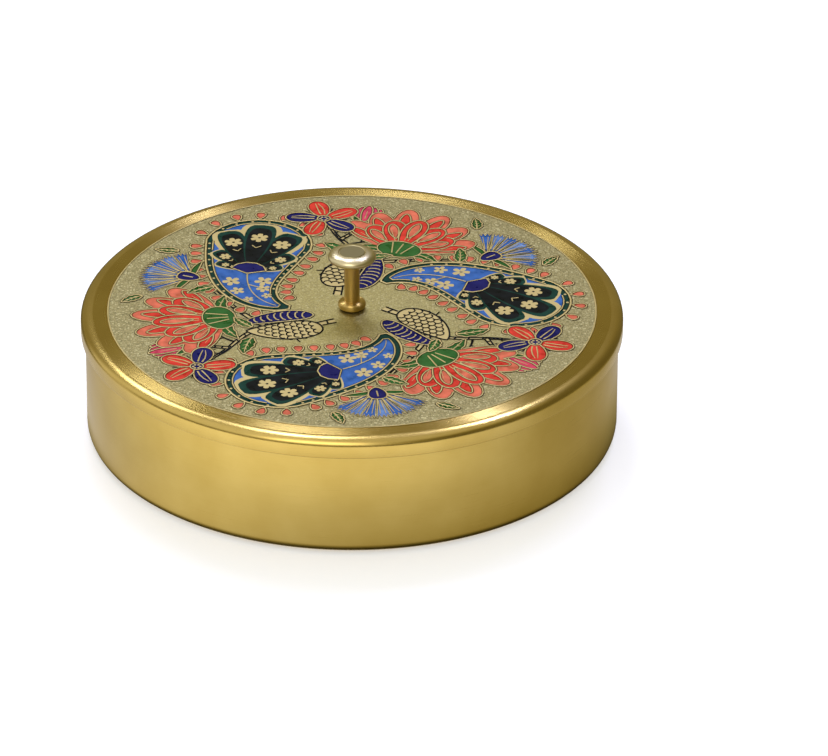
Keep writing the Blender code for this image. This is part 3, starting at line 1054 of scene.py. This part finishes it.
def draw_bud(art, at, heading, size):
    """A bud of five narrow pink petals in a green cup."""
    for angle in (-46, 46, -23, 23, 0):
        out = heading + math.radians(angle)
        bend = -0.5 * angle / 46
        reach = size * (1.0 - 0.004 * abs(angle))
        art.field("pink", moved(blade(reach, size * 0.27, bend, 0.9, 0.6), at, out))
        art.thin(moved([reach * along(t, bend) for t in (0.3, 0.5, 0.7)], at, out), 0.8, taper=0.6)
    cup = blade(size * 0.46, size * 0.17, 0.35, 0.6, 0.7)
    for side in (-1, 1):
        art.field("green", moved(cup, at, heading + side * 0.95, flip=side > 0))


def draw_star_flower(art, at, heading, size):
    """An open flower with five long petals, red and navy in turn, and stamens between them."""
    bend = 0.10
    petal = blade(size, size * 0.56, bend, 0.85, 0.50)
    for k in range(5):
        out = heading + math.tau * k / 5
        for side in (-1, 1):
            art.dark([at, at + unit(out + side * 0.55) * size * 0.62], taper=0.4)
        art.field(("red", "navy")[k % 2], moved(petal, at, out))
        for aside in (-0.10, 0.05):
            rib = [size * along(t, bend, aside * math.sin(math.pi * t))
                   for t in (0.25, 0.45, 0.65, 0.85)]
            art.thin(moved(rib, at, out), 1.1, taper=0.5)
    art.field("navy", ring(at, size * 0.17))
    art.dots("gold", [at + unit(math.pi * k / 3) * size * 0.09 for k in range(6)], size * 0.035)


def draw_crescent_leaf(art, at, heading, size):
    """A navy leaf crossed by gold crescents."""
    bend = 0.38
    art.field("navy", moved(blade(size, size * 0.30, bend, 0.50, 0.80, steps=16), at, heading))
    for k in range(8):
        t = 0.12 + 0.092 * k
        half = size * 0.115 * (1 - 1.3 * abs(t - 0.36))
        tilt = unit(math.atan(2 * bend * t))
        bow = []
        for j in range(5):
            angle = math.pi * j / 4 - math.pi / 2
            bow.append(size * along(t, bend)
                       + tilt * complex(0.45 * half * math.cos(angle), half * math.sin(angle)))
        art.thin(moved(bow, at, heading))


def draw_scale_leaf(art, at, heading, size):
    """A broad gold leaf, bent to the right and covered with rows of dark scales."""
    bend = 0.26
    body = blade(size, size * 0.50, bend, 0.45, 0.75, steps=20)
    art.field("gold", moved(body, at, heading, True), edge="black", width=art.sizes.dark_line)
    pitch = size * 0.105
    rows = 9
    for k in range(rows):
        t = 0.10 + 0.80 * k / rows
        for j in range(-4, 5):
            aside = (j + 0.5 * (k % 2)) * pitch
            middle = size * along(t, bend) + unit(math.atan(2 * bend * t)) * 1j * aside
            if inside(middle, body) and inside(middle + pitch * 0.5, body):
                bow = [middle + pitch * 0.53 * unit(math.pi * (m / 4 - 0.5)) for m in range(5)]
                art.dark(moved(bow, at, heading, True), 0.8)


def draw_branch(art, corners, width):
    """A branch: two dark edges with cross marks, over a gold core. Gives back its path."""
    path = smooth_path(corners)
    normals = path_normals(path)
    halves = [width / 2 * (1 - 0.55 * i / (len(path) - 1)) for i in range(len(path))]
    art.field("gold", outline(path, halves), edge=None)
    for side in (-1, 1):
        art.dark([p + side * n * h for p, n, h in zip(path, normals, halves)])
    for i in range(2, len(path) - 2, 3):
        p, n, h = path[i], normals[i], halves[i]
        art.dark([p - n * h, p + n * h + (path[i + 1] - p) * 0.4])
    return path


class Paisley:
    """A large paisley: a blue body, a fan of black lobes in its round end, a fringe of petals."""

    def __init__(self, art, at, heading, size):
        self.art, self.at, self.heading, self.size = art, at, heading, size
        steps = 44
        self.spine = [0j]
        out = 0.0
        for i in range(steps):
            out += 0.105 * (i / steps) ** 1.6
            self.spine.append(self.spine[-1] + unit(out) * size * 2.95 / steps)
        self.normals = path_normals(self.spine)
        self.halves = [size * (1 - i / steps) ** 0.72 * (1 + 0.06 * math.sin(math.pi * i / steps))
                       for i in range(steps + 1)]

    def placed(self, points):
        return moved(points, self.at, self.heading)

    def shape(self, inset):
        """The outline of the whole paisley, drawn in by a share of its size."""
        inset = self.size * inset
        kept = [(p, h - inset) for p, h in zip(self.spine, self.halves)
                if h - inset > self.size * 0.03]
        body = outline([p for p, _ in kept], [h for _, h in kept])
        radius = kept[0][1]
        return body + [self.spine[0] + radius * unit(math.pi / 2 + math.pi * i / 16)
                       for i in range(1, 16)]

    def draw_fringe(self):
        """Coral petals side by side round the outline, but for its thin end."""
        size = self.size
        fringe = self.shape(-0.03)
        petal = blade(size * 0.27, size * 0.20, 0, 0.9, 0.45, steps=8)
        run = 0.0
        for a, b in zip(fringe, fringe[1:] + fringe[:1]):
            run += abs(b - a)
            if run >= size * 0.26 and min(abs(b - s) for s in self.spine[-4:]) > size * 0.22:
                run = 0.0
                self.art.field("coral", self.placed(moved(petal, b, cmath.phase((b - a) * -1j))))

    def draw_beads(self):
        """Gold dots in the border, along both sides and round the end."""
        beads = [self.spine[t] + side * self.normals[t] * (self.halves[t] - self.size * 0.065)
                 for t in range(2, 32, 3) for side in (-1, 1)]
        beads += [self.size * 0.935 * unit(math.pi + k * 0.34) for k in range(-4, 5)]
        self.art.dots("gold", self.placed(beads), self.size * 0.028)

    def draw_lobes(self, root):
        """A fan of black lobes round a root, each with gold veins and a floret."""
        art, size, placed = self.art, self.size, self.placed
        lobes = 7
        fan = math.radians(158)
        rim = self.shape(0.22)
        found = []
        for k in range(lobes):
            out = math.pi + (k - (lobes - 1) / 2) * fan / lobes + 0.06
            reach = 0.0
            while inside(root + unit(out) * reach, rim):
                reach += size * 0.02
            found.append((out, reach))
        found.sort(key=lambda lobe: lobe[1])

        def lay(tint, out, reach, width, tip=0.26):
            petal = blade(reach, width, 0, 0.95, tip, steps=14)
            art.field(tint, placed(moved(petal, root, out)), edge=None)

        def spot(out, reach, share):
            return root + unit(out) * reach * share

        for out, reach in found:
            lay("gold", out, reach * 1.03, reach * fan / lobes * 1.10)
        for out, reach in found:
            width = reach * fan / lobes * 0.80
            lay("dark_green", out, reach, width)
            lay("black", out, reach * 0.93, width * 0.78, tip=0.30)
            middle = spot(out, reach, 0.72)
            art.thin(placed([spot(out, reach, 0.34), middle]), 0.9)
            for side in (-1, 1):
                vein = [spot(out, reach, 0.50), spot(out + side * 0.085, reach, 0.55)]
                art.thin(placed(vein), 0.8)
            flower_out = cmath.phase(placed([root + unit(out)])[0] - placed([root])[0])
            draw_floret(art, placed([middle])[0], flower_out, min(width * 0.62, size * 0.30),
                        petals=6)
        shares = (-1.0, -0.6, -0.2, 0.2, 0.6, 1.0)
        collar = [root + unit(math.pi + a * fan / 2) * size * 0.34 for a in shares]
        art.field("navy", placed([*collar, root + size * 0.10]))

    def draw_spray(self):
        """A gold spine through the body, with twigs that end in florets."""
        self.art.thin(self.placed(self.spine[18:40]), taper=0.4)
        for i, reach in ((19, 0.30), (24, 0.24), (29, 0.18)):
            for side in (-1, 1):
                aside = side * self.normals[i] * (self.halves[i] - self.size * 0.13) * 0.52
                tip = self.spine[i + 3] + aside
                self.art.thin(self.placed([self.spine[i], tip]), 0.9)
                draw_floret(self.art, self.placed([tip])[0], self.heading, self.size * reach)

    def draw(self):
        self.draw_fringe()
        self.art.field("dark_green", self.placed(self.shape(0)), width=self.art.sizes.line)
        self.art.field("blue", self.placed(self.shape(0.13)))
        self.draw_beads()
        self.draw_lobes(self.spine[16])
        self.draw_spray()


def draw_sector(sizes, reach):
    """One sector of the lid's ornament, in a field of the radius given.

    Places are a share of that radius and an angle in degrees, and headings are degrees too."""
    art = Drawing(sizes)

    def spot(share, degrees):
        return reach * share * unit(math.radians(degrees))

    def path(*places):
        return [spot(*place) for place in places]

    def posed(share, degrees, heading):
        return art, spot(share, degrees), math.radians(heading)

    trunk = draw_branch(art, path((0.13, 118), (0.24, 100), (0.35, 88), (0.45, 74), (0.53, 69)),
                        TRUNK)
    draw_branch(art, [trunk[18], *path((0.49, 88), (0.62, 95), (0.70, 97))], BOUGH)
    draw_branch(art, [trunk[20], *path((0.48, 60), (0.58, 46), (0.66, 39))], BOUGH)
    draw_twig(*posed(0.30, 94, 150), reach * 0.13)
    draw_twig(*posed(0.56, 91, 30), reach * 0.10, flip=True)
    draw_tendril(*posed(0.60, 94, 140), reach * 0.10)
    Paisley(*posed(0.68, 5, 138), sizes.paisley).draw()
    draw_carnation(*posed(0.71, 38, 38), sizes.carnation)
    draw_branch(art, path((0.61, 94), (0.67, 89.5), (0.75, 86.5)), SPRIG)
    draw_bud(*posed(0.74, 86.5, 80), sizes.bud)
    draw_lotus(*posed(0.55, 69, 69), sizes.lotus)
    draw_star_flower(*posed(0.80, 98.5, 98.5), sizes.star_flower)
    draw_crescent_leaf(*posed(0.17, 82, 55), reach * 0.30)
    draw_scale_leaf(*posed(0.20, 112, 82), reach * 0.30)
    for share, degrees, heading, size, flip in (
            (0.48, 92, 128, 0.14, False), (0.44, 82, 20, 0.11, True), (0.60, 42, 80, 0.12, False),
            (0.87, 53, 85, 0.10, False), (0.88, 25, 62, 0.10, True)):
        draw_leaf(*posed(share, degrees, heading), reach * size, flip=flip)
    return art


def plate_mesh(name, fields, ground, level_height):
    """Thin closed plates from flat outlines, each with its top at its own level."""
    work = bmesh.new()
    for field in fields:
        top = ground + (field.level + 1) * level_height
        base = ground - level_height
        upper = [work.verts.new((p.real, p.imag, top)) for p in field.points]
        lower = [work.verts.new((p.real, p.imag, base)) for p in field.points]
        work.faces.new(upper)
        work.faces.new(lower[::-1])
        for i in range(len(upper)):
            j = (i + 1) % len(upper)
            work.faces.new((lower[i], lower[j], upper[j], upper[i]))
    work.normal_update()
    bmesh.ops.triangulate(work, faces=[f for f in work.faces if len(f.verts) > 4],
                          ngon_method="EAR_CLIP")
    bmesh.ops.recalc_face_normals(work, faces=work.faces)
    return mesh_from(name, work)


def line_curves(name, stretches, height):
    """Lines as splines, whose radius is half their width."""
    data = bpy.data.curves.new(name, "CURVE")
    data.dimensions = "3D"
    data.twist_mode = "Z_UP"
    for stretch in stretches:
        spline = data.splines.new("POLY")
        spline.points.add(len(stretch) - 1)
        for point, (p, half) in zip(spline.points, stretch):
            point.co = (p.real, p.imag, height, 1)
            point.radius = half
    return data


def make_ornament(settings):
    sizes = settings.ornament
    shell = settings.shell
    colours = settings.colours
    art = draw_sector(sizes, shell.field_radius)
    rim = [shell.field_radius * unit(math.tau / sizes.repeats * i / RIM_STEPS)
           for i in range(RIM_STEPS + 1)]
    art.thin(rim)
    laid = [copies[0] for copies in art.laid]
    height = shell.lid_top + (2 + max(field.level for field in laid)) * sizes.level
    for tint in TINTS:
        if tint == "gold":
            slot = "lid_brass"
            finish = spun_metal("gold_line_polished", colours.gold, colours.gold, 0.48)
        else:
            slot = "lid_enamel"
            finish = enamel(f"enamel_{tint}", getattr(colours, tint))
        common = {"Repeats": sizes.repeats, "Material": finish}
        fields = [field for field in laid if field.tint == tint]
        if fields:
            mesh = plate_mesh(f"ornament_{tint}", fields, shell.lid_top, sizes.level)
            piece = run_tree(new_object(mesh.name, mesh), repeated_fields(), common)
            finish_piece(piece, LID_BODY, slot)
        stretches = art.visible_lines(tint)
        if stretches:
            curves = line_curves(f"ornament_lines_{tint}", stretches, height)
            flatness = EDGE_FLATNESS if tint == "edge" else LINE_FLATNESS
            piece = run_tree(new_object(curves.name, curves), raised_lines(),
                             common | {"Sides": LINE_SIDES, "Flatness": flatness})
            piece.data.shade_smooth()
            finish_piece(piece, LID_BODY, slot)


# Studio

def seen_white(tree):
    """1 for rays that look at the background: from the camera, from gloss or through glass."""
    rays = add(tree, "ShaderNodeLightPath").outputs
    seen = calculate(tree, "MAXIMUM", rays["Is Camera Ray"], rays["Is Glossy Ray"])
    return calculate(tree, "MAXIMUM", seen, rays["Is Transmission Ray"])


def make_world(settings):
    world = bpy.data.worlds.new("pale_room")
    bpy.context.scene.world = world
    world.use_nodes = True
    tree = world.node_tree
    strength = spread(tree, seen_white(tree), settings.studio.room_light, 1.0)
    set_inputs(tree, tree.nodes["Background"], {"Color": (1, 1, 1), "Strength": strength})


def make_floor():
    mesh = bpy.data.meshes.new("studio_floor")
    half = FLOOR_WIDTH / 2
    corners = ((-half, -half), (half, -half), (half, half), (-half, half))
    mesh.from_pydata([(x, y, -FLOOR_GAP) for x, y in corners], [], [(0, 1, 2, 3)])
    floor = new_object("studio_floor", mesh)
    made, tree, shader = new_material("pale_floor", Base_Color=(0.80, 0.80, 0.77), Roughness=0.9,
                                      Specular_IOR_Level=0.0, Emission_Color=(1, 1, 1))
    lift = calculate(tree, "MULTIPLY", seen_white(tree), 0.42)
    set_inputs(tree, shader, {"Emission Strength": lift})
    mesh.materials.append(made)


def glow_material(name):
    """A material that shines with its mesh's glow, warm where that is dim."""
    made = bpy.data.materials.new(name)
    made.use_nodes = True
    tree = made.node_tree
    tree.nodes.clear()
    level = add(tree, "ShaderNodeAttribute", attribute_name="glow").outputs["Fac"]
    shade = mix(tree, grade(tree, level, 0.30, 0.80), (1.0, 0.88, 0.40), (1.0, 0.99, 1.06))
    light = add(tree, "ShaderNodeEmission", {"Color": shade, "Strength": level}).outputs[0]
    add(tree, "ShaderNodeOutputMaterial", {"Surface": light})
    return made


def make_round_card(name, rings, glow_at):
    """A round card that only reflections see.

    Each ring is a radius, a height and what its glow goes by, next to the direction."""
    steps = 144
    turns = [math.tau * i / steps for i in range(steps)]
    mesh = bpy.data.meshes.new(name)
    places = [(r * math.cos(azimuth), r * math.sin(azimuth), z)
              for r, z, _ in rings for azimuth in turns]
    faces = []
    for k in range(len(rings) - 1):
        for i in range(steps):
            j = (i + 1) % steps
            inner, outer = k * steps, (k + 1) * steps
            faces.append((inner + i, outer + i, outer + j, inner + j))
    mesh.from_pydata(places, [], faces)
    glow = mesh.attributes.new("glow", "FLOAT", "POINT")
    glow.data.foreach_set(
        "value", [glow_at(by, azimuth) for _, _, by in rings for azimuth in turns])
    mesh.materials.append(glow_material(name))
    card = new_object(name, mesh)
    card.visible_camera = False
    card.visible_diffuse = False
    card.visible_shadow = False


def toward(azimuth, degrees):
    """1 in the direction given and -1 opposite to it."""
    return math.cos(azimuth - math.radians(degrees))


def lobe(azimuth, degrees, power):
    """1 in the direction given, falling to 0 at its sides, and narrower for a higher power."""
    return max(0, toward(azimuth, degrees)) ** power


def rise(value, low, high):
    """A smooth step from 0 to 1 between two values."""
    t = min(1, max(0, (value - low) / (high - low)))
    return t * t * (3 - 2 * t)


def floor_glow(radius, azimuth):
    """How bright the floor looks in the box's wall: bright at the front left, dim at the right.

    The near floor is seen low on the wall, and the far floor high on it."""
    near = max(0.42, 0.55 + 0.22 * toward(azimuth, 250) + 0.28 * lobe(azimuth, 228, 8))
    near += 0.16 * lobe(azimuth, 158, 6) + 0.30 * lobe(azimuth, 25, 10)
    far = 0.54 + 1.02 * lobe(azimuth, 248, 0.9)
    far -= 0.34 * rise(toward(azimuth, 85), 0.0, 0.6)
    foot = 0.75 + 0.27 * toward(azimuth, 200)
    level = near + (far - near) * rise(radius, 0.118, 0.158)
    # Painted shadow: the floor's glow is dimmer near the foot and nearly gone under it, for the
    # box's shadow as the wall reflects it.
    level *= foot + (1 - foot) * rise(radius, 0.092, 0.112)
    return level * (0.05 + 0.95 * rise(radius, 0.0885, 0.0930))


def room_glow(elevation, azimuth):
    """How bright the room looks in polished metal: dim behind and at the right, bright in front."""
    level = 0.72 + 0.28 * rise(toward(azimuth, 190), -0.2, 0.8)
    front = rise(toward(azimuth, 252), 0.86, 0.97) * rise(elevation, 32, 46)
    level += 2.4 * (front * (1 - rise(elevation, 62, 80)))
    level *= 1 - 0.75 * rise(toward(azimuth, 250), -0.1, 0.5) * (1 - rise(elevation, 16, 30))
    behind = rise(toward(azimuth, 90), 0.50, 0.78) * (1 - rise(elevation, 60, 82))
    level += (0.33 - level) * behind
    right = rise(toward(azimuth, -5), 0.25, 0.70) * (1 - rise(elevation, 42, 64))
    return level + (0.19 - level) * right


def make_surround():
    """The floor's ring and the room's dome, as the box's metal sees them."""
    make_round_card("floor_card", [(r, -FLOOR_GAP / 2, r) for r in FLOOR_RINGS], floor_glow)
    dome = []
    for elevation in (*range(0, 90, 3), 89.5):
        slope = math.radians(elevation)
        dome.append((ROOM_REACH * math.cos(slope), ROOM_REACH * math.sin(slope), elevation))
    make_round_card("room_card", dome, room_glow)


def make_lamp(name, streak, width, radiance, blue):
    """A long softbox that draws one pair of streaks on the lid's border, along the azimuth given.

    It lies along the directions whose midway direction to the camera has that azimuth."""
    distance = 3.0
    long_side = 0.95
    tilt = 0.38
    along_streak = Vector((math.cos(math.radians(streak)), math.sin(math.radians(streak)), 0))

    def direction(reach):
        flat = Vector((0, math.cos(CAMERA_ELEVATION), 0)) + along_streak * reach
        return Vector((flat.x, flat.y, math.sqrt(1 - flat.length_squared)))

    place = direction(tilt)
    data = bpy.data.lights.new(name, "AREA")
    data.shape = "RECTANGLE"
    data.size = width * distance
    data.size_y = long_side
    data.energy = math.pi * width * distance * long_side * radiance
    data.color = (0.98, 1.05, blue)
    lamp = new_object(name, data)
    lamp.location = place * distance
    run = (direction(tilt + 0.05) - direction(tilt - 0.05)).normalized()
    side = run.cross(place).normalized()
    lamp.rotation_euler = Matrix((side, place.cross(side), place)).transposed().to_euler()


def make_camera(studio):
    data = bpy.data.cameras.new("camera")
    data.lens = studio.lens
    data.sensor_width = 36.0
    data.shift_x = studio.shift_x
    data.shift_y = studio.shift_y
    data.clip_end = 50.0
    camera = new_object("camera", data)
    away = Vector((0, -math.cos(studio.elevation), math.sin(studio.elevation)))
    aim = Vector((0, 0, studio.aim_height))
    camera.location = aim + away * studio.distance
    camera.rotation_euler = away.to_track_quat("Z", "Y").to_euler()
    bpy.context.scene.camera = camera


def make_studio(settings):
    make_camera(settings.studio)
    make_world(settings)
    make_floor()
    make_surround()
    make_lamp("lamp_left", streak=218, width=0.14, radiance=8.0, blue=1.5)
    make_lamp("lamp_middle", streak=257, width=0.13, radiance=9.5, blue=1.7)
    make_lamp("lamp_right", streak=303.5, width=0.040, radiance=30.0, blue=2.0)
    bpy.context.scene.view_settings.view_transform = "Standard"


# Operators and panel

class SPICEBOX_OT_studio(bpy.types.Operator):
    """Make the camera, the floor, the cards and the lamps"""
    bl_idname = "spice_box.studio"
    bl_label = "Make Studio"

    def execute(self, context):
        make_studio(context.scene.spice_box)
        return {"FINISHED"}


class SPICEBOX_OT_pan(bpy.types.Operator):
    """Make the pan's fine shell"""
    bl_idname = "spice_box.pan"
    bl_label = "Make Pan"

    def execute(self, context):
        make_pan(context.scene.spice_box)
        return {"FINISHED"}


class SPICEBOX_OT_lid(bpy.types.Operator):
    """Make the lid's fine shell with its stippled field"""
    bl_idname = "spice_box.lid"
    bl_label = "Make Lid"

    def execute(self, context):
        make_lid(context.scene.spice_box)
        return {"FINISHED"}


class SPICEBOX_OT_ornament(bpy.types.Operator):
    """Draw the enamel ornament on the lid"""
    bl_idname = "spice_box.ornament"
    bl_label = "Make Ornament"

    def execute(self, context):
        make_ornament(context.scene.spice_box)
        return {"FINISHED"}


class SPICEBOX_OT_knob(bpy.types.Operator):
    """Turn the knob's collar, stem and head"""
    bl_idname = "spice_box.knob"
    bl_label = "Make Knob"

    def execute(self, context):
        make_knob(context.scene.spice_box)
        return {"FINISHED"}


class SPICEBOX_OT_screw(bpy.types.Operator):
    """Finish the screw and the washer under the lid"""
    bl_idname = "spice_box.screw"
    bl_label = "Finish Screw"

    def execute(self, context):
        make_screw(context.scene.spice_box)
        return {"FINISHED"}


class SPICEBOX_OT_bowls(bpy.types.Operator):
    """Spin the seven small bowls"""
    bl_idname = "spice_box.bowls"
    bl_label = "Make Bowls"

    def execute(self, context):
        make_bowls(context.scene.spice_box)
        return {"FINISHED"}


class SPICEBOX_OT_spoon(bpy.types.Operator):
    """Press the spoon that lies on the bowls"""
    bl_idname = "spice_box.spoon"
    bl_label = "Make Spoon"

    def execute(self, context):
        make_spoon(context.scene.spice_box)
        return {"FINISHED"}


STEPS = ("studio", "pan", "lid", "ornament", "knob", "screw", "bowls", "spoon")


class SPICEBOX_PT_panel(bpy.types.Panel):
    """The sidebar's list of sizes, colours and steps"""
    bl_idname = "SPICEBOX_PT_panel"
    bl_label = "Spice Box"
    bl_space_type = "VIEW_3D"
    bl_region_type = "UI"
    bl_category = "Spice Box"

    def draw(self, context):
        settings = context.scene.spice_box
        for step in STEPS:
            self.layout.operator(f"spice_box.{step}")
        for name in settings.__annotations__:
            part = getattr(settings, name)
            box = self.layout.box()
            for key in part.__annotations__:
                box.prop(part, key)


CLASSES = (
    ShellSizes, KnobSizes, BowlSizes, OrnamentSizes, Colours, StudioSettings, SpiceBoxSettings,
    SPICEBOX_OT_studio, SPICEBOX_OT_pan, SPICEBOX_OT_lid, SPICEBOX_OT_ornament, SPICEBOX_OT_knob,
    SPICEBOX_OT_screw, SPICEBOX_OT_bowls, SPICEBOX_OT_spoon, SPICEBOX_PT_panel,
)


def register():
    for made in CLASSES:
        bpy.utils.register_class(made)
    bpy.types.Scene.spice_box = bpy.props.PointerProperty(type=SpiceBoxSettings)


def unregister():
    del bpy.types.Scene.spice_box
    for made in reversed(CLASSES):
        bpy.utils.unregister_class(made)


def main():
    register()
    for step in STEPS:
        getattr(bpy.ops.spice_box, step)()


if __name__ == "__main__":
    main()
